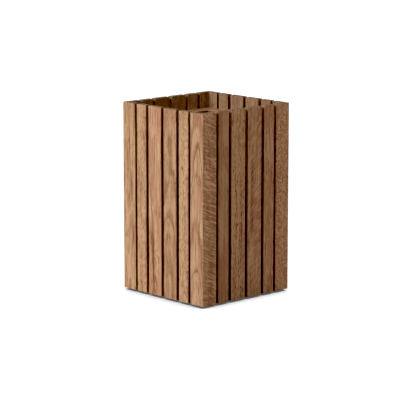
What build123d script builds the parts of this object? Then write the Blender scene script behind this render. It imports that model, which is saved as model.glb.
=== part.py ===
from build123d import *
import os
from math import radians, sqrt, tan

# Slatted litter bin: four walls of vertical oak slats screwed to two mitred rings of rails, a base
# board on the lower ring, and a liner that stands on the base board and lifts out through the top.
# Millimetres, +Z up. The origin is the centre of the footprint, on the floor. The front wall faces -Y.

# Slats
slat_length = 485.0
slat_thickness = 15.0
corner_slat = 46.25  # face width of each of the two mitred boards at a corner
narrow_slat = 34.75
wide_slat = 47.25
outer_gap = 7.5  # between a corner board and the narrow slat beside it
inner_gap = 9.5  # between the four middle slats
slat_round = 1.5  # long arrises of a slat
corner_round = 2.5  # outer arris that two mitred boards share
end_chamfer = 1.0  # ends of a slat
floor_clearance = 5.0  # under the slats

# Rails
rail_depth = 38.0  # from the slats inwards: the width of the ledge
rail_height = 20.0
rail_chamfer = 1.0
ledge_depth = 41.0  # from the slats' top ends down to the top of the upper rails
lower_rail_rise = 6.0  # from the slats' bottom ends up to the lower rails

# Base board
board_thickness = 9.0
board_clearance = 1.0  # to the slats, on each side
board_chamfer = 0.8
drain_radius = 6.0
drain_spacing = 110.0

# Liner
liner_clearance = 3.0  # between the liner's rim and the upper rails
liner_drop = 6.0  # rim below the top of the upper rails
liner_wall = 2.5
liner_corner = 20.0
liner_heel = 6.0  # round between the liner's walls and its floor
liner_draft = 0.6  # degrees
rim_projection = 2.0
rim_height = 6.0
finger_slot_length = 80.0
finger_slot_height = 22.0
finger_slot_gap = 1.0  # between the slots and the underside of the upper rails

# Screws
screw_radius = 2.0
screw_head_radius = 4.0
countersink_angle = 82.0  # degrees
screw_point = 3.0
pan_head_height = 2.4
recess_length = 3.6
recess_width = 0.8
recess_depth = 1.2
hole_clearance = 0.2  # radial, round a screw's shank
pilot_clearance = 1.0  # beyond a screw's point
rail_screw_grip = 10.0  # into a slat
board_screw_grip = 14.0  # into a lower rail
foot_screw_grip = 14.0  # into a lower rail

# Feet
foot_radius = 13.0
foot_chamfer = 1.5
foot_bore_radius = 5.0
foot_bore_depth = 5.0

# Worked-out sizes
widths = [corner_slat, narrow_slat, wide_slat, wide_slat, narrow_slat, corner_slat]
gaps = [outer_gap, inner_gap, inner_gap, inner_gap, outer_gap]
side = sum(widths) + sum(gaps)
inner_width = side - 2 * slat_thickness
ring_opening = inner_width - 2 * rail_depth
rail_inset = slat_thickness + rail_depth
rail_centre = inner_width / 2 - rail_depth / 2
slat_base = floor_clearance
slat_top = slat_base + slat_length
lower_rail_base = slat_base + lower_rail_rise
board_base = lower_rail_base + rail_height
liner_base = board_base + board_thickness
upper_rail_base = slat_top - ledge_depth - rail_height
liner_rim = upper_rail_base + rail_height - liner_drop
foot_height = lower_rail_base
rim_width = ring_opening - 2 * liner_clearance
body_width = rim_width - 2 * rim_projection
cavity_width = body_width - 2 * liner_wall
finger_slot_centre = upper_rail_base - finger_slot_gap - finger_slot_height / 2

hole_radius = screw_radius + hole_clearance
rail_screw_length = rail_depth + rail_screw_grip
board_screw_length = board_thickness + board_screw_grip
foot_screw_length = foot_height - foot_bore_depth + foot_screw_grip

slat_centres = [sum(widths[:i]) + sum(gaps[:i]) + widths[i] / 2 - side / 2 for i in range(len(widths))]
screwed_slats = slat_centres[1:-1]
narrow_centre = slat_centres[-2]
wide_centre = slat_centres[-3]
board_screw_offset = (wide_centre + narrow_centre) / 2
foot_offset = (narrow_centre + ring_opening / 2) / 2

wall_angles = {"front": 0, "right": 90, "back": 180, "left": 270}
rail_bases = {"lower": lower_rail_base, "upper": upper_rail_base}
footed_walls = ("front", "back")

os.makedirs("parts", exist_ok=True)


def save(part, name):
    part.label = name
    export_step(part, f"parts/{name}.step")


def wall_plane(angle, height):
    """Level plane of a wall: X runs along the wall, left to right from outside, and Y inwards."""
    return Plane.XY.rotated((0, 0, angle)).offset(height)


def facing_in(angle, along, inset, height):
    """Plane on a wall that faces the middle of the bin, inset from the slats' outer face."""
    wall = wall_plane(angle, height)
    origin = wall.from_local_coords(Vector(along, inset - side / 2, 0))
    return Plane(origin=origin, x_dir=wall.x_dir, z_dir=wall.y_dir)


def facing_up(angle, along, height):
    """Plane over the middle of a wall's rail that faces up."""
    wall = wall_plane(angle, height)
    return Plane(origin=wall.from_local_coords(Vector(along, -rail_centre, 0)), x_dir=wall.x_dir)


def facing_down(angle, along, height):
    """Plane under the middle of a wall's rail that faces down."""
    up = facing_up(angle, along, height)
    return Plane(origin=up.origin, x_dir=up.x_dir, z_dir=(0, 0, -1))


def rail_screws_at(angle, base):
    return [facing_in(angle, along, rail_inset, base + rail_height / 2) for along in screwed_slats]


def board_screws_at(angle, height):
    return [facing_up(angle, along, height) for along in (-board_screw_offset, board_screw_offset)]


def foot_screws_at(angle, height):
    return [facing_down(angle, along, height) for along in (-foot_offset, foot_offset)]


# Straight slats, with a blind pilot hole for the screw in each rail
for wall, angle in wall_angles.items():
    for number in range(2, 6):
        width = widths[number - 1]
        centre = slat_centres[number - 1]
        with BuildPart() as slat:
            with BuildSketch(wall_plane(angle, slat_base)):
                with Locations((centre, slat_thickness / 2 - side / 2)):
                    RectangleRounded(width, slat_thickness, slat_round)
            extrude(amount=slat_length)
            ends = slat.faces().filter_by(Axis.Z)
            chamfer(ends.edges(), end_chamfer)
            pilots = [facing_in(angle, centre, slat_thickness, base + rail_height / 2)
                      for base in rail_bases.values()]
            with Locations(*pilots):
                Hole(hole_radius, depth=rail_screw_grip + pilot_clearance)
        save(slat.part, f"{wall}_slat_{number}")

# Corner boards: the outer arris is an arc that stops at the mitre, so that a pair makes one round edge
outer = side / 2
inner = outer - slat_thickness
free = outer - corner_slat
arc_start = outer - corner_round
arc_end = outer - corner_round * (1 - 1 / sqrt(2))

for wall, angle in wall_angles.items():
    for number, hand in ((1, -1), (6, 1)):
        level = wall_plane(angle, 0)
        mitre = Plane(origin=(0, 0, 0), x_dir=(0, 0, 1), z_dir=level.x_dir * hand + level.y_dir)
        with BuildPart() as board:
            with BuildSketch(wall_plane(angle, slat_base)) as profile:
                with BuildLine():
                    Polyline((hand * arc_end, -arc_end), (hand * inner, -inner), (hand * free, -inner),
                             (hand * free, -outer), (hand * arc_start, -outer))
                    RadiusArc((hand * arc_start, -outer), (hand * arc_end, -arc_end), hand * corner_round)
                make_face()
                free_corners = profile.vertices().filter_by(lambda v: abs(v.X - hand * free) < slat_round / 2)
                fillet(free_corners, slat_round)
            extrude(amount=slat_length)
            ends = board.faces().filter_by(Axis.Z)
            eased = ends.edges().filter_by(lambda e: abs(mitre.to_local_coords(e.center()).Z) > end_chamfer / 2)
            chamfer(eased, end_chamfer)
        save(board.part, f"{wall}_slat_{number}")

# Rails: two mitred rings, with a countersunk hole at each straight slat
for level_name, base in rail_bases.items():
    for wall, angle in wall_angles.items():
        with BuildPart() as rail:
            with BuildSketch(wall_plane(angle, base)):
                with BuildLine():
                    Polyline((-inner_width / 2, -inner_width / 2), (inner_width / 2, -inner_width / 2),
                             (ring_opening / 2, -ring_opening / 2), (-ring_opening / 2, -ring_opening / 2),
                             close=True)
                make_face()
            extrude(amount=rail_height)
            face = facing_in(angle, 0, rail_inset, 0)
            shown = rail.edges().filter_by(lambda e: e.length > ring_opening / 2
                                           and abs(face.to_local_coords(e.center()).Z) < rail_chamfer / 2)
            chamfer(shown, rail_chamfer)
            with Locations(*rail_screws_at(angle, base)):
                CounterSinkHole(hole_radius, screw_head_radius, counter_sink_angle=countersink_angle)
            if level_name == "lower":
                with Locations(*board_screws_at(angle, base + rail_height)):
                    Hole(hole_radius, depth=board_screw_grip + pilot_clearance)
            if level_name == "lower" and wall in footed_walls:
                with Locations(*foot_screws_at(angle, base)):
                    Hole(hole_radius, depth=foot_screw_grip + pilot_clearance)
        save(rail.part, f"{wall}_{level_name}_rail")

# Base board: lies on the lower rails
board_screw_planes = [p for angle in wall_angles.values() for p in board_screws_at(angle, liner_base)]

with BuildPart() as base_board:
    with BuildSketch(Plane.XY.offset(board_base)):
        Rectangle(inner_width - 2 * board_clearance, inner_width - 2 * board_clearance)
    extrude(amount=board_thickness)
    chamfer(base_board.edges(), board_chamfer)
    with Locations(Plane.XY.offset(liner_base)):
        with GridLocations(drain_spacing, drain_spacing, 2, 2):
            Hole(drain_radius)
    with Locations(*board_screw_planes):
        CounterSinkHole(hole_radius, screw_head_radius, counter_sink_angle=countersink_angle)
save(base_board.part, "base_board")

# Liner: a drafted bucket with a thick rim and a finger slot in its left and right walls
with BuildPart() as liner:
    with BuildSketch(Plane.XY.offset(liner_rim)):
        RectangleRounded(body_width, body_width, liner_corner)
    extrude(amount=liner_base - liner_rim, taper=liner_draft)
    fillet(liner.faces().sort_by(Axis.Z)[0].edges(), liner_heel)
    with BuildSketch(Plane.XY.offset(liner_rim)):
        RectangleRounded(cavity_width, cavity_width, liner_corner - liner_wall)
    extrude(amount=liner_base + liner_wall - liner_rim, taper=liner_draft, mode=Mode.SUBTRACT)
    cavity_floor = liner.faces().filter_by(Axis.Z).sort_by(Axis.Z)[1]
    fillet(cavity_floor.edges(), liner_heel - liner_wall)
    with BuildSketch(Plane.XY.offset(liner_rim - rim_height)):
        RectangleRounded(rim_width, rim_width, liner_corner + rim_projection)
        RectangleRounded(cavity_width, cavity_width, liner_corner - liner_wall, mode=Mode.SUBTRACT)
    extrude(amount=rim_height)
    with BuildSketch(Plane.YZ.offset(-body_width)):
        with Locations((0, finger_slot_centre)):
            SlotOverall(finger_slot_length, finger_slot_height)
    extrude(amount=2 * body_width, mode=Mode.SUBTRACT)
save(liner.part, "liner")


# Screws: each is made along -Z with its seat at the origin, then placed by its hole's plane
def wood_screw(length, head_top, head_outline):
    """Screw with a cross recess. The outline runs from the rim of the head's top down to the shank."""
    with BuildPart() as screw:
        with BuildSketch(Plane.XZ):
            with BuildLine():
                Polyline((0, head_top), *head_outline, (screw_radius, screw_point - length), (0, -length),
                         close=True)
            make_face()
        revolve(axis=Axis.Z)
        with BuildSketch(Plane.XY.offset(head_top)):
            Rectangle(recess_length, recess_width)
            Rectangle(recess_width, recess_length)
        extrude(amount=-recess_depth, mode=Mode.SUBTRACT)
    return screw.part


countersunk_height = (screw_head_radius - screw_radius) / tan(radians(countersink_angle / 2))
countersunk_head = [(screw_head_radius, 0), (screw_radius, -countersunk_height)]
pan_head = [(screw_head_radius, pan_head_height), (screw_head_radius, 0), (screw_radius, 0)]

rail_screw = wood_screw(rail_screw_length, 0, countersunk_head)
for level_name, base in rail_bases.items():
    with BuildPart() as rail_screws:
        with Locations(*[p for angle in wall_angles.values() for p in rail_screws_at(angle, base)]):
            add(rail_screw)
    save(rail_screws.part, f"{level_name}_rail_screws")

board_screw = wood_screw(board_screw_length, 0, countersunk_head)
with BuildPart() as base_board_screws:
    with Locations(*board_screw_planes):
        add(board_screw)
save(base_board_screws.part, "base_board_screws")

foot_screw = wood_screw(foot_screw_length, pan_head_height, pan_head)
with BuildPart() as foot_screws:
    with Locations(*[p for wall in footed_walls for p in foot_screws_at(wall_angles[wall], foot_bore_depth)]):
        add(foot_screw)
save(foot_screws.part, "foot_screws")

# Feet: round glides under the front and back lower rails, each with a bore that sinks its screw's head
for wall in footed_walls:
    for hand, end in (("left", 0), ("right", 1)):
        ground = foot_screws_at(wall_angles[wall], 0)[end]
        with BuildPart() as foot:
            with BuildSketch(ground):
                Circle(foot_radius)
            extrude(amount=-foot_height)
            chamfer(foot.edges().group_by(Axis.Z)[0], foot_chamfer)
            with Locations(ground):
                CounterBoreHole(hole_radius, foot_bore_radius, foot_bore_depth)
        save(foot.part, f"{wall}_{hand}_foot")
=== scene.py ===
"""Looks of a slatted oak litter bin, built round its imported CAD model.

Lengths are metres in the frame of the CAD model: +Z up, the front wall towards -Y. Wood grain is
worked out in millimetres inside an imagined log, because its features are that small.
"""

import logging
import math
import random
from dataclasses import dataclass, field
from enum import Enum
from typing import Mapping, Sequence, Union

import bmesh
import bpy
from mathutils import Euler, Matrix, Vector, noise


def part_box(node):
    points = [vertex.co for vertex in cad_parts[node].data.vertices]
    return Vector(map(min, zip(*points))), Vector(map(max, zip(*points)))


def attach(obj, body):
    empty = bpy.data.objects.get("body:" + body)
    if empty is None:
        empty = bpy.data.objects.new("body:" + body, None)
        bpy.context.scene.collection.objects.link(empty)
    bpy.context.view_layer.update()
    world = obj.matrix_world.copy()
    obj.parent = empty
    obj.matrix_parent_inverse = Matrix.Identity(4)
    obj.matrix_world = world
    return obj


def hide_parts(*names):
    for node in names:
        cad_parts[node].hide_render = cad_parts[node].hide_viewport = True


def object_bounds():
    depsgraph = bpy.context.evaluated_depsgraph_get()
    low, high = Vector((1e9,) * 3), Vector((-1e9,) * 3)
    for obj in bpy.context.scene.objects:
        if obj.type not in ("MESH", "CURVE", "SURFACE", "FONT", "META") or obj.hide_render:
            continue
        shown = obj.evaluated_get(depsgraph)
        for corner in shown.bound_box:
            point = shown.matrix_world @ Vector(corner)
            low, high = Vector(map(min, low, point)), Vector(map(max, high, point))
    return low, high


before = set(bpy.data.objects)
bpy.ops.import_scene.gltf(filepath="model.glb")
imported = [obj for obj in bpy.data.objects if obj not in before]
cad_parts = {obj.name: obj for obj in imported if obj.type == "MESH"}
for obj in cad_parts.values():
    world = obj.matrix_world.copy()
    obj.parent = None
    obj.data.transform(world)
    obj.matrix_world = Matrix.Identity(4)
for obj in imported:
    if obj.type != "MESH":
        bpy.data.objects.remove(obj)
cad_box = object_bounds()

log = logging.getLogger("litter_bin")

MM = 0.001
PER_MM = 1 / MM
NOISE_MEAN = 0.5
LOG_STRETCH_MM = 977.0
MITRE_TOLERANCE = 0.1 * MM
BIN_BODY = "bin"
# The mitred edge of each slat of a wall, left to right: -1 for its left one, 1 for its right one.
SLAT_MITRES = (-1, 0, 0, 0, 0, 1)

Colour = tuple[float, float, float]
Size = tuple[float, float, float]
Span = tuple[float, float]
Feed = Union["Wire", float, Sequence[float]]


class Wall(Enum):
    """The four walls, by the angle that turns the front wall into them."""

    FRONT = 0
    RIGHT = 90
    BACK = 180
    LEFT = 270

    @property
    def prefix(self) -> str:
        """Start of the names of the wall's nodes."""
        return self.name.lower()

    @property
    def turn(self) -> Matrix:
        """Rotation from the wall's own axes (X along, Y inwards, Z up) to the model's."""
        return Matrix.Rotation(math.radians(self.value), 3, "Z")


class Saw(Enum):
    """How a board was cut: the direction from the pith to it, in degrees from the board's own X."""

    PLAIN = 90
    RIFT = 50
    QUARTER = 4


class Wire:
    """A node's output that takes part in arithmetic on single values."""

    def __init__(self, tree: "ShaderTree", socket: bpy.types.NodeSocket) -> None:
        """Wraps one output socket of a tree."""
        self.tree = tree
        self.socket = socket

    def __add__(self, other: Feed) -> "Wire":
        """Sum."""
        return self.tree.math("ADD", self, other)

    def __radd__(self, other: Feed) -> "Wire":
        """Sum with a number on the left."""
        return self.tree.math("ADD", other, self)

    def __sub__(self, other: Feed) -> "Wire":
        """Difference."""
        return self.tree.math("SUBTRACT", self, other)

    def __rsub__(self, other: Feed) -> "Wire":
        """Difference from a number on the left."""
        return self.tree.math("SUBTRACT", other, self)

    def __mul__(self, other: Feed) -> "Wire":
        """Product."""
        return self.tree.math("MULTIPLY", self, other)

    def __rmul__(self, other: Feed) -> "Wire":
        """Product with a number on the left."""
        return self.tree.math("MULTIPLY", other, self)

    def __truediv__(self, other: Feed) -> "Wire":
        """Quotient."""
        return self.tree.math("DIVIDE", self, other)

    def __rtruediv__(self, other: Feed) -> "Wire":
        """Quotient of a number on the left."""
        return self.tree.math("DIVIDE", other, self)

    def __mod__(self, other: Feed) -> "Wire":
        """Remainder that is never negative."""
        return self.tree.math("FLOORED_MODULO", self, other)

    def __rmod__(self, other: Feed) -> "Wire":
        """Remainder of a number on the left."""
        return self.tree.math("FLOORED_MODULO", other, self)


class ShaderTree:
    """A node tree that is written as expressions."""

    def __init__(self, tree: bpy.types.NodeTree) -> None:
        """Empties the tree and takes it over."""
        self.tree = tree
        tree.nodes.clear()

    def add(
        self,
        kind: str,
        settings: Mapping[str, object] | None = None,
        inputs: Mapping[Union[str, int], Feed] | None = None,
        output: Union[str, int] = 0,
    ) -> Wire:
        """Adds one node.

        Args:
            kind: The node's type.
            settings: Its properties, which are set first.
            inputs: The value or the wire of each socket, by name or number.
            output: The output that the wire stands for.

        Returns:
            The wire from that output.
        """
        made = self.tree.nodes.new(kind)
        for key, value in (settings or {}).items():
            setattr(made, key, value)
        for key, value in (inputs or {}).items():
            if isinstance(value, Wire):
                self.tree.links.new(value.socket, made.inputs[key])
            else:
                made.inputs[key].default_value = value
        return Wire(self, made.outputs[output])

    def math(self, operation: str, *terms: Feed) -> Wire:
        """One Math node on single values."""
        return self.add("ShaderNodeMath", {"operation": operation}, dict(enumerate(terms)))

    def vector(self, operation: str, *terms: Feed, output: str = "Vector") -> Wire:
        """One Vector Math node."""
        settings = {"operation": operation}
        return self.add("ShaderNodeVectorMath", settings, dict(enumerate(terms)), output)

    def mix(self, share: Feed, first: Feed, second: Feed, blend: str = "MIX") -> Wire:
        """Blends two colours.

        Args:
            share: How much of the second colour, 0 to 1.
            first: A colour of four numbers, or a wire.
            second: The same.
            blend: The blend's kind.

        Returns:
            The blended colour.
        """
        settings = {"data_type": "RGBA", "blend_type": blend}
        return self.add("ShaderNodeMix", settings, {0: share, 6: first, 7: second}, 2)

    def step(self, value: Feed, low: float, high: float) -> Wire:
        """Soft step.

        Args:
            value: What is measured.
            low: Where the step starts, at 0.
            high: Where it ends, at 1.

        Returns:
            The height of the step.
        """
        settings = {"interpolation_type": "SMOOTHSTEP"}
        inputs = {"Value": value, "From Min": low, "From Max": high}
        return self.add("ShaderNodeMapRange", settings, inputs)

    def noise(self, place: Feed, detail: float = 2.0, output: str = "Fac") -> Wire:
        """Cloudy noise with blotches of size 1, 0 to 1 round the mean."""
        inputs = {"Vector": place, "Scale": 1.0, "Detail": detail}
        return self.add("ShaderNodeTexNoise", None, inputs, output)

    def finish(self, kind: str, surface: Wire) -> None:
        """Ends the tree with an output node of the given kind."""
        self.tree.links.new(surface.socket, self.tree.nodes.new(kind).inputs["Surface"])

    def object_place_mm(self) -> Wire:
        """Place on the object, in millimetres."""
        place = self.add("ShaderNodeTexCoord", output="Object")
        return self.vector("MULTIPLY", place, (PER_MM, PER_MM, PER_MM))

    def split(self, place: Wire) -> tuple[Wire, Wire, Wire]:
        """X, Y and Z of a vector."""
        first = self.add("ShaderNodeSeparateXYZ", None, {0: place})
        return tuple(Wire(self, first.socket.node.outputs[axis]) for axis in "XYZ")

    def join(self, x: Feed, y: Feed, z: Feed) -> Wire:
        """Vector from its X, Y and Z."""
        return self.add("ShaderNodeCombineXYZ", None, {0: x, 1: y, 2: z})


@dataclass(frozen=True)
class Figure:
    """Noise whose blotches have a size of their own along X, Y and Z, in millimetres."""

    size_mm: Size
    detail: float = 2.0

    def spread(self, tree: ShaderTree, place: Wire) -> Wire:
        """A place in millimetres, counted in blotches."""
        return tree.vector("MULTIPLY", place, tuple(1 / size for size in self.size_mm))

    def on(self, tree: ShaderTree, place: Wire, output: str = "Fac") -> Wire:
        """The noise at a place in millimetres."""
        return tree.noise(self.spread(tree, place), self.detail, output)


def even(size_mm: float, detail: float) -> Figure:
    """Figure with blotches as long as they are wide."""
    return Figure((size_mm, size_mm, size_mm), detail)


def along_z(across_mm: float, along_mm: float, detail: float = 2.0) -> Figure:
    """Figure drawn out along Z, which is the grain of a board."""
    return Figure((across_mm, across_mm, along_mm), detail)


def rgb(red: float, green: float, blue: float) -> tuple[float, float, float, float]:
    """Opaque colour for a node socket, from linear red, green and blue."""
    return (red, green, blue, 1.0)


def new_material(name: str) -> tuple[bpy.types.Material, ShaderTree]:
    """Makes an empty node material.

    Args:
        name: The material's name.

    Returns:
        The material and its tree.
    """
    material = bpy.data.materials.new(name)
    material.use_nodes = True
    return material, ShaderTree(material.node_tree)


def finish_material(tree: ShaderTree, colour: Feed, roughness: Feed, height: Feed, **fixed: float) -> None:
    """Ends a material with a Principled shader.

    Args:
        tree: The material's tree.
        colour: Base colour.
        roughness: Roughness.
        height: Relief in millimetres, for the bump.
        fixed: Further sockets of the shader, the same all over, with _ for a blank in the name.
    """
    relief = {"Strength": 1.0, "Distance": MM, "Height": height}
    bump = tree.add("ShaderNodeBump", None, relief, "Normal")
    inputs: dict[Union[str, int], Feed] = {"Base Color": colour, "Roughness": roughness, "Normal": bump}
    inputs.update({key.replace("_", " "): value for key, value in fixed.items()})
    tree.finish("ShaderNodeOutputMaterial", tree.add("ShaderNodeBsdfPrincipled", None, inputs))


@dataclass(frozen=True)
class Board:
    """Where a board lies: its middle, and the turn from the model's axes to the board's own.

    The board's own axes are X across its face, Y through it from outside to inside, Z along the grain.
    """

    middle: Vector
    axes: Matrix


@dataclass(frozen=True)
class Cut:
    """How one board was sawn and how it came out, which makes each board look its own.

    pith_mm is the distance to the middle of the log, taper the lean of the grain in degrees, and
    ring_mm the width of a year's growth. tone scales the whole colour. warmth, rings, streaks,
    speckle, flecks and heart are strengths, 0 for none. A ray fleck is fleck_mm deep and fleck_rise
    times that along the grain, and drops by fleck_slant for each millimetre outwards. A dark vein
    of heart wood lies heart_across and heart_up millimetres from the board's middle. seed picks
    the stretch of the log.
    """

    saw: Saw = Saw.PLAIN
    pith_mm: float = 90.0
    taper: float = 1.5
    ring_mm: float = 2.6
    tone: float = 1.0
    warmth: float = 0.5
    rings: float = 1.0
    streaks: float = 1.0
    speckle: float = 0.45
    flecks: float = 0.5
    fleck_mm: float = 6.0
    fleck_rise: float = 1.9
    fleck_slant: float = 0.0
    heart: float = 0.0
    heart_across: float = 0.0
    heart_up: float = 0.0
    seed: int = 0

    def middle_in_log(self) -> Vector:
        """Finds the stretch of the log that is the board's own.

        Returns:
            The middle of the board in the log, in millimetres.
        """
        direction = math.radians(self.saw.value)
        across = Vector((math.cos(direction), math.sin(direction), 0.0)) * self.pith_mm
        return across + Vector((0.0, 0.0, LOG_STRETCH_MM * self.seed))


@dataclass(frozen=True)
class OiledOak:
    """Oiled oak, solid all through: rings, pores, ray flecks, darker end grain and painted shade on ends,
    sides and back.

    A depth runs from pale to brown wood. Each _depth says how far one feature moves it, and each
    _mean takes off what the feature adds on average. A _span is where a soft step starts and ends.
    """

    pale: Colour = (0.585, 0.386, 0.230)
    brown: Colour = (0.250, 0.121, 0.056)
    pink: Colour = (0.470, 0.250, 0.150)
    pore: Colour = (0.095, 0.038, 0.015)
    ray: Colour = (0.800, 0.520, 0.320)
    heart: Colour = (0.130, 0.038, 0.018)

    wander: Figure = along_z(60.0, 200.0)
    wander_reach_mm: Size = (14.0, 14.0, 28.0)
    side_lean: float = 0.3

    growth_mm: float = 9.0
    growth_detail: float = 1.0
    growth_rings: float = 3.0
    early_start: Span = (0.0, 0.08)
    early_end: Span = (0.18, 0.55)
    early_depth: float = 0.34
    vigour_depth: float = 0.46
    late_depth: float = 0.14
    ring_mean: float = 0.20

    fibres: Figure = along_z(2.6, 200.0)
    fibre_span: Span = (0.46, 0.66)
    fibre_depth: float = 1.10
    fibre_mean: float = 0.42
    streaks: Figure = along_z(5.0, 280.0)
    streak_depth: float = 2.8
    bands: Figure = along_z(13.0, 320.0, 1.0)
    band_depth: float = 1.3
    mottle: Figure = along_z(24.0, 75.0)
    mottle_depth: float = 1.6
    specks: Figure = along_z(2.2, 12.0)
    speck_span: Span = (0.46, 0.70)
    speck_depth: float = 1.30
    speck_mean: float = 0.42

    mean_depth: float = 0.34
    depth_span: Span = (-0.40, 1.30)
    blush_span: Span = (0.85, 1.25)

    pore_cells: Figure = along_z(0.5, 9.0)
    pore_span: Span = (0.16, 0.42)
    late_pores: float = 0.18
    pore_share: float = 0.55

    ray_mm: float = 2.5
    ray_span: Span = (0.49, 0.62)

    vein_ragged_mm: float = 22.0
    vein_span_mm: Span = (1.0, 8.0)
    vein_length_span_mm: Span = (50.0, 140.0)

    # Painted shade on the sides facing the gaps and on the back inside the bin; the ends are darker partly
    # as end grain, partly as painted shade.
    end_grain_and_painted_shade: float = 0.50
    end_span: Span = (0.5, 0.9)
    side_painted_shade: float = 0.52
    side_span: Span = (0.75, 0.97)
    back_painted_shade: float = 0.78
    back_span: Span = (0.5, 0.9)

    roughness: float = 0.56
    pore_roughness: float = 0.16
    fibre_roughness: float = 0.12
    ray_polish: float = 0.08
    sawn_roughness: float = 0.6
    fibre_relief_mm: float = 0.04
    pore_relief_mm: float = 0.10
    early_relief_mm: float = 0.03
    specular: float = 0.35

    def material(self, name: str, board: Board, cut: Cut) -> bpy.types.Material:
        """Makes the wood of one board.

        Args:
            name: The material's name.
            board: Where the board lies.
            cut: How it was sawn.

        Returns:
            The material.
        """
        material, tree = new_material(name)
        place = self._place_in_log(tree, board, cut)
        bent = self._bent(tree, place)
        x, y, _ = tree.split(bent)
        radius = tree.math("SQRT", x * x + y * y)
        around = tree.math("ARCTAN2", y, x) * cut.pith_mm

        early, rings = self._rings(tree, radius, cut)
        fibres = self.fibres.on(tree, bent)
        streaks = self.streaks.on(tree, bent)
        bands = self.bands.on(tree, bent)
        mottle = self.mottle.on(tree, bent)
        specks = tree.step(self.specks.on(tree, bent), *self.speck_span)
        lines = self.fibre_depth * tree.step(fibres, *self.fibre_span) - self.fibre_mean

        depth = self.mean_depth + cut.rings * rings
        depth = depth + cut.streaks * (self.streak_depth * (streaks - NOISE_MEAN) + lines)
        depth = depth + self.band_depth * (bands - NOISE_MEAN) + self.mottle_depth * (mottle - NOISE_MEAN)
        depth = depth + cut.speckle * (self.speck_depth * specks - self.speck_mean)

        colour = tree.mix(tree.step(depth, *self.depth_span), rgb(*self.pale), rgb(*self.brown))
        blush = tree.step(mottle + bands, *self.blush_span) * cut.warmth
        colour = tree.mix(blush, colour, rgb(*self.pink))
        if cut.heart > 0:
            vein = self._heart_vein(tree, bent, streaks, cut)
            colour = tree.mix(vein * cut.heart, colour, rgb(*self.heart))
        pores = self._pores(tree, bent, early)
        colour = tree.mix(self.pore_share * pores, colour, rgb(*self.pore))
        rays = self._rays(tree, around, radius, tree.split(place)[2], cut)
        colour = tree.mix(rays * cut.flecks, colour, rgb(*self.ray))
        # Painted shade: the colour is darkened on the sides facing the gaps, on the back inside the bin
        # and on the ends (there partly end grain).
        painted_shade = self._painted_face_shade(tree, board)
        colour = tree.mix(1.0, colour, cut.tone * painted_shade, "MULTIPLY")

        roughness = self.roughness + self.pore_roughness * pores - self.ray_polish * rays
        roughness = roughness + self.fibre_roughness * (fibres - NOISE_MEAN)
        roughness = roughness + self.sawn_roughness * (1.0 - painted_shade)
        height = self.fibre_relief_mm * fibres - self.pore_relief_mm * pores - self.early_relief_mm * early
        finish_material(tree, colour, roughness, height, Specular_IOR_Level=self.specular)
        return material

    def _place_in_log(self, tree: ShaderTree, board: Board, cut: Cut) -> Wire:
        """Lays the board into the log that it was sawn from.

        Args:
            tree: The material's tree.
            board: Where the board lies in the bin.
            cut: How it was sawn.

        Returns:
            The place in the log in millimetres, with the pith along Z.
        """
        lean = Euler((math.radians(cut.taper), math.radians(self.side_lean * cut.taper), 0.0)).to_matrix()
        turn = lean @ board.axes
        start = cut.middle_in_log() - turn @ board.middle / MM
        inputs = {
            "Vector": tree.add("ShaderNodeTexCoord", output="Object"),
            "Location": start,
            "Rotation": turn.to_euler("XYZ"),
            "Scale": (PER_MM, PER_MM, PER_MM),
        }
        return tree.add("ShaderNodeMapping", None, inputs)

    def _bent(self, tree: ShaderTree, place: Wire) -> Wire:
        """Bends the log a little, as a tree grows.

        Args:
            tree: The material's tree.
            place: Place in a straight log.

        Returns:
            The place in the bent log.
        """
        aside = self.wander.on(tree, place, "Color")
        aside = tree.vector("SUBTRACT", aside, (NOISE_MEAN, NOISE_MEAN, NOISE_MEAN))
        return tree.vector("ADD", place, tree.vector("MULTIPLY", aside, self.wander_reach_mm))

    def _rings(self, tree: ShaderTree, radius: Wire, cut: Cut) -> tuple[Wire, Wire]:
        """Works out the years' growth, some years stronger than others.

        Args:
            tree: The material's tree.
            radius: Distance from the pith, in millimetres.
            cut: How the board was sawn.

        Returns:
            1 in the early wood of a ring and 0 in its late wood, and the depth that the rings add.
        """
        growth = tree.noise(tree.join(radius / self.growth_mm, 0.0, float(cut.seed)), self.growth_detail)
        ring = radius / cut.ring_mm + growth * self.growth_rings
        phase = ring % 1.0
        year = tree.math("FLOOR", ring) + cut.seed
        vigour = tree.add("ShaderNodeTexWhiteNoise", {"noise_dimensions": "1D"}, {"W": year}, "Value")
        early = tree.step(phase, *self.early_start) * (1.0 - tree.step(phase, *self.early_end))
        depth = early * (self.early_depth + self.vigour_depth * vigour)
        return early, depth + self.late_depth * phase - self.ring_mean

    def _pores(self, tree: ShaderTree, place: Wire, early: Wire) -> Wire:
        """Opens the pores: long cells, crowded in the early wood of each ring.

        Args:
            tree: The material's tree.
            place: Place in the log.
            early: 1 in early wood.

        Returns:
            1 in a pore and 0 in solid wood.
        """
        inputs = {"Vector": self.pore_cells.spread(tree, place), "Scale": 1.0}
        cells = tree.add("ShaderNodeTexVoronoi", None, inputs, "Distance")
        crowd = self.late_pores + (1.0 - self.late_pores) * early
        return (1.0 - tree.step(cells, *self.pore_span)) * crowd

    def _rays(self, tree: ShaderTree, around: Wire, radius: Wire, along: Wire, cut: Cut) -> Wire:
        """Sets ray flecks: thin radial sheets, which show broad on a quarter-sawn face.

        Args:
            tree: The material's tree.
            around: Place round the log, in millimetres.
            radius: Distance from the pith.
            along: Place along the log.
            cut: How the board was sawn.

        Returns:
            1 in a fleck and 0 beside it.
        """
        level = (along + cut.fleck_slant * radius) / (cut.fleck_rise * cut.fleck_mm)
        place = tree.join(around / self.ray_mm, radius / cut.fleck_mm, level)
        return tree.step(tree.noise(place), *self.ray_span)

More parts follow.
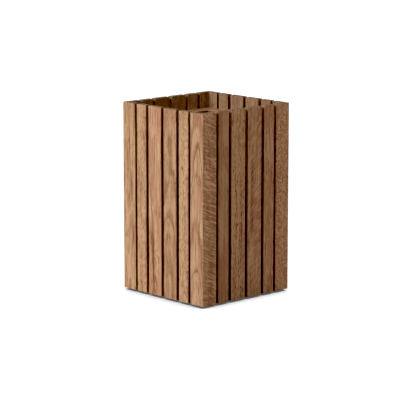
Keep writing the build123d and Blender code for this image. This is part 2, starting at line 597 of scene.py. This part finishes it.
    def _heart_vein(self, tree: ShaderTree, place: Wire, ragged: Wire, cut: Cut) -> Wire:
        """Draws a dark, ragged vein along the grain.

        Args:
            tree: The material's tree.
            place: Place in the log.
            ragged: Noise that frays its edges.
            cut: How the board was sawn, which says where the vein lies.

        Returns:
            1 in the middle of the vein and 0 outside.
        """
        x, _, z = tree.split(place)
        middle = cut.middle_in_log()
        aside = tree.math("ABSOLUTE", x - (middle.x + cut.heart_across))
        aside = aside + self.vein_ragged_mm * (ragged - NOISE_MEAN)
        beyond = tree.math("ABSOLUTE", z - (middle.z + cut.heart_up))
        inside = 1.0 - tree.step(aside, *self.vein_span_mm)
        return inside * (1.0 - tree.step(beyond, *self.vein_length_span_mm))

    def _painted_face_shade(self, tree: ShaderTree, board: Board) -> Wire:
        """Darkens the ends, partly as darker end grain and partly as painted shade, and paints shade
        on the sides that face the gaps between slats and on the back inside the bin.

        Args:
            tree: The material's tree.
            board: Where the board lies.

        Returns:
            1 on the planed face, and less on the others.
        """
        facing = tree.add("ShaderNodeNewGeometry", output="True Normal")
        side, back, end = (tree.vector("DOT_PRODUCT", facing, axis, output="Value") for axis in board.axes)
        ends = tree.step(tree.math("ABSOLUTE", end), *self.end_span)
        sides = tree.step(tree.math("ABSOLUTE", side), *self.side_span)
        painted_shade = 1.0 - (1.0 - self.end_grain_and_painted_shade) * ends
        painted_shade = painted_shade * (1.0 - (1.0 - self.side_painted_shade) * sides)
        return painted_shade * (1.0 - (1.0 - self.back_painted_shade) * tree.step(back, *self.back_span))


@dataclass(frozen=True)
class PlainFinish:
    """A plain moulded or plated surface with fine grain, soft clouds and light scuffs."""

    colour: Colour
    worn: Colour
    roughness: float
    grain_mm: float
    relief_mm: float
    metallic: float = 0.0
    clouds: Figure = even(45.0, 3.0)
    scuffs: Figure = along_z(3.0, 60.0, 3.0)
    scuff_span: Span = (0.58, 0.76)
    scuff_share: float = 0.5
    cloud_span: Span = (0.4, 0.8)
    cloud_share: float = 0.25
    cloud_roughness: float = 0.16
    grain_roughness: float = 0.12
    wear_roughness: float = 0.08

    def material(self, name: str) -> bpy.types.Material:
        """Makes the material.

        Args:
            name: The material's name.

        Returns:
            The material.
        """
        material, tree = new_material(name)
        place = tree.object_place_mm()
        grain = even(self.grain_mm, 2.0).on(tree, place)
        clouds = self.clouds.on(tree, place)
        wear = self.scuff_share * tree.step(self.scuffs.on(tree, place), *self.scuff_span)
        wear = wear + self.cloud_share * tree.step(clouds, *self.cloud_span)
        colour = tree.mix(wear, rgb(*self.colour), rgb(*self.worn))
        roughness = self.roughness + self.cloud_roughness * (clouds - NOISE_MEAN)
        roughness = roughness + self.grain_roughness * (grain - NOISE_MEAN) + self.wear_roughness * wear
        finish_material(tree, colour, roughness, self.relief_mm * grain, Metallic=self.metallic)
        return material


@dataclass(frozen=True)
class Plywood:
    """Sealed plywood: a peeled face with broad figure, and plies that show at the edges."""

    pale: Colour = (0.560, 0.400, 0.240)
    brown: Colour = (0.400, 0.260, 0.140)
    figure: Figure = Figure((180.0, 26.0, 26.0), 4.0)
    fibres: Figure = Figure((60.0, 0.8, 0.8), 3.0)
    figure_waves: float = 9.0
    ply_mm: float = 1.5
    ply_span: Span = (0.45, 0.55)
    face_span: Span = (0.3, 0.7)
    ply_share: float = 0.55
    roughness: float = 0.55
    fibre_roughness: float = 0.15
    fibre_relief_mm: float = 0.03

    def material(self, name: str) -> bpy.types.Material:
        """Makes the material.

        Args:
            name: The material's name.

        Returns:
            The material.
        """
        material, tree = new_material(name)
        place = tree.object_place_mm()
        fibres = self.fibres.on(tree, place)
        waves = (self.figure.on(tree, place) * self.figure_waves) % 1.0
        plies = tree.step(tree.split(place)[2] / (2 * self.ply_mm) % 1.0, *self.ply_span)
        facing = tree.split(tree.add("ShaderNodeNewGeometry", output="True Normal"))[2]
        edge = 1.0 - tree.step(tree.math("ABSOLUTE", facing), *self.face_span)
        colour = tree.mix(0.5 * (waves + fibres), rgb(*self.pale), rgb(*self.brown))
        colour = tree.mix(self.ply_share * plies * edge, colour, rgb(*self.brown))
        roughness = self.roughness + self.fibre_roughness * (fibres - NOISE_MEAN)
        finish_material(tree, colour, roughness, self.fibre_relief_mm * fibres)
        return material


@dataclass(frozen=True)
class OutlinePoint:
    """A point on a slat's cross-section, and how it moves when the section shrinks by one unit."""

    place: Vector
    inward: Vector

    def mirrored(self) -> "OutlinePoint":
        """The same point on the other hand."""
        return OutlinePoint(Vector((-self.place.x, self.place.y)), Vector((-self.inward.x, self.inward.y)))


@dataclass
class Slat:
    """One upright slat, straight or mitred, as a planed board with eased edges.

    mitre is 0 for a straight slat, and -1 or 1 for one mitred at its left or right edge. The arrises
    are worn by noise with wear_across and wear_up blotches to the metre.
    """

    node: str
    wall: Wall
    mitre: int
    cut: Cut
    half_side: float
    arris: float = 1.6 * MM
    corner_arris: float = 2.6 * MM
    end_ease: float = 1.3 * MM
    wear: float = 0.22 * MM
    wear_across: float = 60.0
    wear_up: float = 45.0
    wear_seed_step: float = 10.0
    arc_steps: int = 4
    ring_pitch: float = 8 * MM
    low: Vector = field(init=False)
    high: Vector = field(init=False)

    def __post_init__(self) -> None:
        """Reads the slat's place in its wall from the frame."""
        corners = [self.wall.turn.inverted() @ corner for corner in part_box(self.node)]
        self.low = Vector(min(c[i] for c in corners) for i in range(3))
        self.high = Vector(max(c[i] for c in corners) for i in range(3))

    def build(self) -> bpy.types.Object:
        """Makes the slat's mesh and object, and dresses it.

        Returns:
            The object, which rides on the bin and stands for its CAD node.
        """
        outline = self._straight_outline() if self.mitre == 0 else self._mitred_outline()
        mesh = bmesh.new()
        rings = [self._ring(mesh, outline, height, inset) for height, inset in self._levels()]
        for lower, upper in zip(rings, rings[1:]):
            for i in range(len(lower)):
                j = (i + 1) % len(lower)
                mesh.faces.new((lower[i], lower[j], upper[j], upper[i]))
        mesh.faces.new(reversed(rings[0]))
        mesh.faces.new(rings[-1])
        return finish_piece(mesh, self.node, self._material())

    def _straight_outline(self) -> list[OutlinePoint]:
        """Lays out the cross-section of a straight slat.

        Returns:
            Its points in the wall's axes, anticlockwise from above.
        """
        left, right, near, far = self.low.x, self.high.x, self.low.y, self.high.y
        points: list[OutlinePoint] = []
        for x, y, start in ((left, near, 180), (right, near, 270), (right, far, 0), (left, far, 90)):
            points += self._arc(x, y, start, start + 90, self.arris)
        return points

    def _mitred_outline(self) -> list[OutlinePoint]:
        """Lays out the cross-section of a corner board, first as one mitred at its right edge.

        Returns:
            Its points in the wall's axes, anticlockwise from above.
        """
        free = abs(self.low.x if self.mitre > 0 else self.high.x)
        outer = self.half_side
        inner = -self.high.y
        points = self._arc(free, -outer, 180, 270, self.arris)
        points += self._arc(outer, -outer, 270, 315, self.corner_arris)
        points.append(OutlinePoint(Vector((inner, -inner)), Vector((1.0, -1.0))))
        points += self._arc(free, -inner, 90, 180, self.arris)
        if self.mitre > 0:
            return points
        return [point.mirrored() for point in reversed(points)]

    def _arc(self, x: float, y: float, start: float, end: float, radius: float) -> list[OutlinePoint]:
        """Rounds a sharp corner of the outline.

        Args:
            x: X of the corner that the arc replaces.
            y: Y of it.
            start: Direction in which the arc's first point faces, in degrees from X.
            end: The same for its last point.
            radius: The arc's radius.

        Returns:
            The arc's points.
        """
        middle = math.radians(start + 45)
        side = Vector((math.copysign(1, math.cos(middle)), math.copysign(1, math.sin(middle))))
        centre = Vector((x, y)) - side * radius
        points = []
        for i in range(self.arc_steps + 1):
            turn = math.radians(start + (end - start) * i / self.arc_steps)
            outward = Vector((math.cos(turn), math.sin(turn)))
            points.append(OutlinePoint(centre + outward * radius, -outward))
        return points

    def _levels(self) -> list[tuple[float, float]]:
        """Spaces the rings of vertices up the slat, close together at its eased ends.

        Returns:
            Height and inset of each ring, from the bottom end to the top.
        """
        base, top = self.low.z, self.high.z
        ease = []
        for i in range(self.arc_steps):
            turn = math.radians(90 - 90 * i / self.arc_steps)
            ease.append((self.end_ease * (1 - math.sin(turn)), self.end_ease * (1 - math.cos(turn))))
        count = round((top - base - 2 * self.end_ease) / self.ring_pitch)
        run = (top - base - 2 * self.end_ease) / count
        straight = [(base + self.end_ease + run * i, 0.0) for i in range(count + 1)]
        bottom = [(base + rise, inset) for rise, inset in ease]
        return bottom + straight + [(top - rise, inset) for rise, inset in reversed(ease)]

    def _ring(
        self,
        mesh: bmesh.types.BMesh,
        outline: list[OutlinePoint],
        height: float,
        inset: float,
    ) -> list[bmesh.types.BMVert]:
        """Adds one ring of vertices, with the edges a little unevenly eased.

        Args:
            mesh: The mesh that takes them.
            outline: The slat's cross-section.
            height: The ring's height.
            inset: How far it is drawn in all round.

        Returns:
            The vertices.
        """
        ring = []
        for point in outline:
            flat = point.place + point.inward * inset
            rise = height * self.wear_up + self.wear_seed_step * self.cut.seed
            spot = Vector((flat.x * self.wear_across, flat.y * self.wear_across, rise))
            worn = self.wear * max(0.0, noise.noise(spot)) * (0.0 if self._in_mitre(point) else 1.0)
            flat = flat + point.inward * worn
            ring.append(mesh.verts.new(self.wall.turn @ Vector((flat.x, flat.y, height))))
        return ring

    def _in_mitre(self, point: OutlinePoint) -> bool:
        """True for the points that the two mitred boards share."""
        return self.mitre != 0 and abs(abs(point.place.x) - abs(point.place.y)) < MITRE_TOLERANCE

    def _material(self) -> bpy.types.Material:
        """The slat's own oak."""
        board = Board(self.wall.turn @ ((self.low + self.high) / 2), self.wall.turn.inverted())
        return OiledOak().material(f"oak_{self.node}", board, self.cut)


def finish_piece(
    mesh: bmesh.types.BMesh,
    node: str,
    material: bpy.types.Material,
) -> bpy.types.Object:
    """Turns a finished mesh into a piece that stands for a CAD node.

    Args:
        mesh: The mesh, which is freed.
        node: The CAD node, whose name the piece takes up.
        material: Its material.

    Returns:
        The piece.
    """
    data = bpy.data.meshes.new(f"{node}_planed")
    bmesh.ops.recalc_face_normals(mesh, faces=mesh.faces)
    mesh.to_mesh(data)
    mesh.free()
    data.shade_smooth()
    data.materials.append(material)
    piece = bpy.data.objects.new(f"{node}_planed", data)
    bpy.context.scene.collection.objects.link(piece)
    weighted = piece.modifiers.new("even_faces", "WEIGHTED_NORMAL")
    weighted.keep_sharp = True
    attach(piece, BIN_BODY)
    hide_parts(node)
    return piece


@dataclass
class SlatWall:
    """The six slats of one wall."""

    wall: Wall
    cuts: Sequence[Cut]

    def build(self) -> list[bpy.types.Object]:
        """Makes the wall's slats.

        Returns:
            Their pieces, left to right from outside.
        """
        half_side = cad_box[1][0]
        pieces = []
        for i, (mitre, cut) in enumerate(zip(SLAT_MITRES, self.cuts)):
            slat = Slat(f"{self.wall.prefix}_slat_{i + 1}", self.wall, mitre, cut, half_side)
            pieces.append(slat.build())
        return pieces


@dataclass
class RailRing:
    """Four mitred rails at one level, of duller oak with its grain along the rail."""

    level: str
    first_seed: int
    pith_mm: float = 70.0
    pith_step_mm: float = 15.0
    # Painted shade on the rails' inward faces, below the ledge that their tops make; none on their tops,
    # bottoms and ends.
    oak: OiledOak = OiledOak(
        pale=(0.55, 0.30, 0.160),
        brown=(0.29, 0.125, 0.060),
        end_grain_and_painted_shade=1.0,
        side_painted_shade=1.0,
        back_painted_shade=0.40,
    )

    def dress(self) -> list[bpy.types.Object]:
        """Gives each rail of the ring its wood.

        Returns:
            The rails.
        """
        lay_flat = Matrix(((0, 0, 1), (0, 1, 0), (-1, 0, 0))).inverted()
        rails = []
        for i, wall in enumerate(Wall):
            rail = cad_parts[f"{wall.prefix}_{self.level}_rail"]
            low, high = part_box(rail.name)
            board = Board((low + high) / 2, lay_flat @ wall.turn.inverted())
            pith_mm = self.pith_mm + self.pith_step_mm * i
            cut = Cut(Saw.RIFT, pith_mm=pith_mm, ring_mm=2.2, warmth=0.8, seed=self.first_seed + i)
            dress(rail, self.oak.material(f"oak_{rail.name}", board, cut))
            rails.append(rail)
        return rails


def dress(node: bpy.types.Object, material: bpy.types.Material) -> None:
    """Gives a CAD node one material all over."""
    node.data.materials.clear()
    node.data.materials.append(material)


def towards(azimuth: float, elevation: float) -> Vector:
    """Unit vector from the bin to a place in the studio; azimuth 0 is in front of the bin."""
    turn, rise = math.radians(azimuth), math.radians(elevation)
    return Vector((math.sin(turn) * math.cos(rise), -math.cos(turn) * math.cos(rise), math.sin(rise)))


@dataclass(frozen=True)
class Lamp:
    """A broad, distant studio light."""

    name: str
    azimuth: float
    elevation: float
    strength: float
    spread: float
    glossy: bool = True

    def hang(self) -> None:
        """Puts the lamp in the scene."""
        light = bpy.data.lights.new(self.name, "SUN")
        light.energy = self.strength
        light.angle = math.radians(self.spread)
        lamp = bpy.data.objects.new(self.name, light)
        lamp.rotation_euler = towards(self.azimuth, self.elevation).to_track_quat("Z", "Y").to_euler()
        lamp.visible_glossy = self.glossy
        bpy.context.scene.collection.objects.link(lamp)


@dataclass
class Studio:
    """Pale floor, soft light and the camera.

    The floor and the sky that the camera sees are white, apart from a soft shadow under the bin
    that is painted into the floor's glow from ambient occlusion; the light that they throw on it
    has colours of its own.
    """

    azimuth: float = 47.23
    elevation: float = 10.85
    distance: float = 5.176
    lens_mm: float = 181.5
    aim_side: float = -0.0152
    aim_height: float = 0.2362
    sky_colour: Colour = (1.0, 0.80, 0.70)
    sky_strength: float = 0.09
    sky_shown: float = 2.0
    black_level: float = 0.022
    floor_size: float = 60.0
    floor_colour: Colour = (0.70, 0.56, 0.49)
    floor_shown: float = 1.15
    # Reach, span and grey of the painted shadow in the floor's glow.
    painted_shadow_reach: float = 85 * MM
    painted_shadow_span: Span = (0.10, 0.86)
    painted_shadow_grey: float = 0.09
    lamps: tuple[Lamp, ...] = (
        Lamp("key_light", azimuth=-7.0, elevation=28.0, strength=2.75, spread=34.0),
        Lamp("fill_light", azimuth=96.0, elevation=36.0, strength=0.34, spread=40.0, glossy=False),
        Lamp("back_light", azimuth=228.0, elevation=24.0, strength=2.2, spread=60.0, glossy=False),
    )

    def build(self) -> None:
        """Sets up the floor, the light, the camera and the picture's black level."""
        self._floor()
        self._sky()
        for lamp in self.lamps:
            lamp.hang()
        self._camera()
        view = bpy.context.scene.view_settings
        view.view_transform = "Standard"
        view.use_curve_mapping = True
        view.curve_mapping.black_level = 3 * (self.black_level,)
        view.curve_mapping.update()

    def _floor(self) -> None:
        """Lays a large floor at the height that the feet stand on."""
        mesh = bmesh.new()
        bmesh.ops.create_grid(mesh, x_segments=2, y_segments=2, size=self.floor_size / 2)
        data = bpy.data.meshes.new("studio_floor")
        mesh.to_mesh(data)
        mesh.free()
        data.materials.append(self._floor_material())
        floor = bpy.data.objects.new("studio_floor", data)
        floor.location.z = cad_box[0][2]
        bpy.context.scene.collection.objects.link(floor)

    def _floor_material(self) -> bpy.types.Material:
        """Makes the floor's material.

        Returns:
            A material that glows white to the camera, with a painted shadow where the bin stands near,
            and that is warm to the bin.
        """
        material, tree = new_material("studio_floor")
        seen = tree.add("ShaderNodeLightPath", output="Is Camera Ray")
        real = tree.add("ShaderNodeBsdfDiffuse", None, {"Color": rgb(*self.floor_colour)})
        # Painted shadow: the glow that the camera sees goes grey where ambient occlusion finds the bin
        # near.
        openness = tree.add("ShaderNodeAmbientOcclusion", None, {"Distance": self.painted_shadow_reach}, "AO")
        painted_shadow_colour = rgb(self.painted_shadow_grey, self.painted_shadow_grey, self.painted_shadow_grey)
        white = tree.mix(tree.step(openness, *self.painted_shadow_span), painted_shadow_colour, rgb(1.0, 1.0, 1.0))
        shown = tree.add("ShaderNodeEmission", None, {"Color": white, "Strength": self.floor_shown})
        surface = tree.add("ShaderNodeMixShader", None, {0: seen, 1: real, 2: shown})
        tree.finish("ShaderNodeOutputMaterial", surface)
        return material

    def _sky(self) -> None:
        """Sets up even light from all round."""
        world = bpy.data.worlds.new("studio_sky")
        world.use_nodes = True
        bpy.context.scene.world = world
        tree = ShaderTree(world.node_tree)
        seen = tree.add("ShaderNodeLightPath", output="Is Camera Ray")
        thrown = {"Color": rgb(*self.sky_colour), "Strength": self.sky_strength}
        light = tree.add("ShaderNodeBackground", None, thrown)
        white = {"Color": rgb(1.0, 1.0, 1.0), "Strength": self.sky_shown}
        shown = tree.add("ShaderNodeBackground", None, white)
        surface = tree.add("ShaderNodeMixShader", None, {0: seen, 1: light, 2: shown})
        tree.finish("ShaderNodeOutputWorld", surface)

    def _camera(self) -> None:
        """Sets up a long lens, level from side to side, that looks slightly down at the bin."""
        view = bpy.data.cameras.new("camera")
        view.lens = self.lens_mm
        view.clip_end = 2 * self.floor_size
        camera = bpy.data.objects.new("camera", view)
        turn = math.radians(self.azimuth)
        aim = Vector((math.cos(turn), math.sin(turn), 0.0)) * self.aim_side
        aim.z = cad_box[0][2] + self.aim_height
        backwards = towards(self.azimuth, self.elevation)
        camera.location = aim + backwards * self.distance
        camera.rotation_euler = backwards.to_track_quat("Z", "Y").to_euler()
        bpy.context.scene.collection.objects.link(camera)
        bpy.context.scene.camera = camera


FRONT_CUTS = (
    Cut(Saw.RIFT, pith_mm=80, taper=2.4, ring_mm=2.8, tone=0.97, warmth=0.15, rings=0.7, streaks=1.4,
        flecks=0.1, seed=11),
    Cut(Saw.RIFT, pith_mm=95, ring_mm=2.2, tone=0.99, warmth=0.1, rings=0.4, streaks=0.8, speckle=0.8,
        flecks=0.1, seed=12),
    Cut(Saw.RIFT, pith_mm=60, taper=3.2, ring_mm=3.4, tone=1.02, warmth=0.9, rings=1.1, streaks=3.2,
        speckle=0.3, flecks=0.1, heart=0.85, heart_across=-10, heart_up=-150, seed=13),
    Cut(Saw.PLAIN, pith_mm=70, taper=-2.2, ring_mm=4.6, tone=0.88, rings=1.6, streaks=0.8,
        flecks=0.15, seed=14),
    Cut(Saw.RIFT, pith_mm=110, ring_mm=1.8, tone=0.93, warmth=0.2, rings=0.4, streaks=0.6, speckle=1.3,
        flecks=0.25, seed=15),
    Cut(Saw.PLAIN, pith_mm=85, taper=-2.8, ring_mm=4.8, tone=0.92, rings=1.6, streaks=0.8,
        flecks=0.1, seed=18),
)
RIGHT_CUTS = (
    Cut(Saw.QUARTER, pith_mm=110, ring_mm=2.4, tone=0.96, rings=0.2, streaks=0.3,
        flecks=0.9, fleck_mm=30, fleck_rise=0.15, fleck_slant=0.45, seed=21),
    Cut(Saw.RIFT, pith_mm=80, ring_mm=2.2, tone=0.95, warmth=0.9, rings=0.5, streaks=0.7,
        flecks=0.1, seed=22),
    Cut(Saw.QUARTER, pith_mm=90, ring_mm=2.8, tone=1.06, warmth=0.1, rings=0.8, streaks=1.8, speckle=1.9,
        flecks=0.3, fleck_mm=4, heart=0.5, heart_across=8, heart_up=-60, seed=23),
    Cut(Saw.QUARTER, pith_mm=100, ring_mm=2.2, tone=0.98, warmth=0.8, rings=0.6, streaks=1.0,
        flecks=0.6, fleck_mm=14, fleck_rise=0.25, fleck_slant=-1.2, heart=0.6, heart_across=-10,
        heart_up=10, seed=24),
    Cut(Saw.RIFT, pith_mm=90, taper=3.0, ring_mm=2.6, tone=1.02, warmth=0.8, rings=0.9, streaks=1.6,
        flecks=0.2, seed=25),
    Cut(Saw.QUARTER, pith_mm=120, ring_mm=2.0, tone=1.0, warmth=0.9, rings=0.4, streaks=0.7, speckle=1.5,
        flecks=0.75, fleck_mm=5, fleck_rise=1.0, seed=26),
)
DEALT_SPANS: dict[str, Span] = {
    "pith_mm": (60, 120),
    "taper": (0.5, 2.6),
    "ring_mm": (1.9, 3.6),
    "tone": (0.94, 1.06),
    "warmth": (0.7, 1.0),
    "rings": (0.5, 1.3),
    "streaks": (0.7, 1.8),
    "speckle": (0.3, 1.3),
    "flecks": (0.1, 0.6),
    "fleck_mm": (4, 16),
    "fleck_rise": (0.25, 1.2),
    "fleck_slant": (-1.0, 1.0),
}


def dealt_cuts(seed: int, tone: float) -> list[Cut]:
    """Deals cuts at random to the slats of a wall.

    Args:
        seed: Seed of the deal.
        tone: Their tone on average.

    Returns:
        One cut for each slat.
    """
    draw = random.Random(seed)
    cuts = []
    for i in range(len(SLAT_MITRES)):
        saw = draw.choice(list(Saw))
        dealt = {name: draw.uniform(low, high) for name, (low, high) in DEALT_SPANS.items()}
        dealt["tone"] *= tone
        cuts.append(Cut(saw, seed=10 * seed + i, **dealt))
    return cuts


BLACK_PLASTIC = PlainFinish(
    colour=(0.016, 0.016, 0.017),
    worn=(0.035, 0.035, 0.036),
    roughness=0.48,
    grain_mm=0.5,
    relief_mm=0.02,
)
ZINC_STEEL = PlainFinish(
    colour=(0.62, 0.62, 0.60),
    worn=(0.45, 0.44, 0.42),
    roughness=0.34,
    grain_mm=0.3,
    relief_mm=0.004,
    metallic=1.0,
)
FOOT_PLASTIC = PlainFinish(
    colour=(0.030, 0.030, 0.032),
    worn=(0.060, 0.060, 0.060),
    roughness=0.42,
    grain_mm=0.4,
    relief_mm=0.01,
)


def dress_fittings() -> list[bpy.types.Object]:
    """Gives the base board, the liner, the screws and the feet their materials.

    Returns:
        The dressed nodes.
    """
    looks = {
        "base_board": Plywood().material("plywood"),
        "liner": BLACK_PLASTIC.material("liner_plastic"),
        "screws": ZINC_STEEL.material("zinc_steel"),
        "foot": FOOT_PLASTIC.material("foot_plastic"),
    }
    fittings = []
    for name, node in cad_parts.items():
        for ending, material in looks.items():
            if name.endswith(ending):
                dress(node, material)
                fittings.append(node)
    return fittings


def main() -> None:
    """Builds every part of the picture in order."""
    logging.basicConfig(level=logging.INFO, format="%(name)s: %(message)s")
    Studio().build()
    walls = (
        SlatWall(Wall.FRONT, FRONT_CUTS),
        SlatWall(Wall.RIGHT, RIGHT_CUTS),
        # The back wall's lower tone darkens its boards all through, as painted shade on its inner face
        # inside the bin.
        SlatWall(Wall.BACK, dealt_cuts(seed=3, tone=0.77)),
        SlatWall(Wall.LEFT, dealt_cuts(seed=4, tone=0.97)),
    )
    for wall in walls:
        for piece in wall.build():
            log.info("built %s", piece.name)
    for ring in (RailRing("lower", first_seed=50), RailRing("upper", first_seed=60)):
        for rail in ring.dress():
            log.info("dressed %s", rail.name)
    for fitting in dress_fittings():
        log.info("dressed %s", fitting.name)


if __name__ == "__main__":
    main()
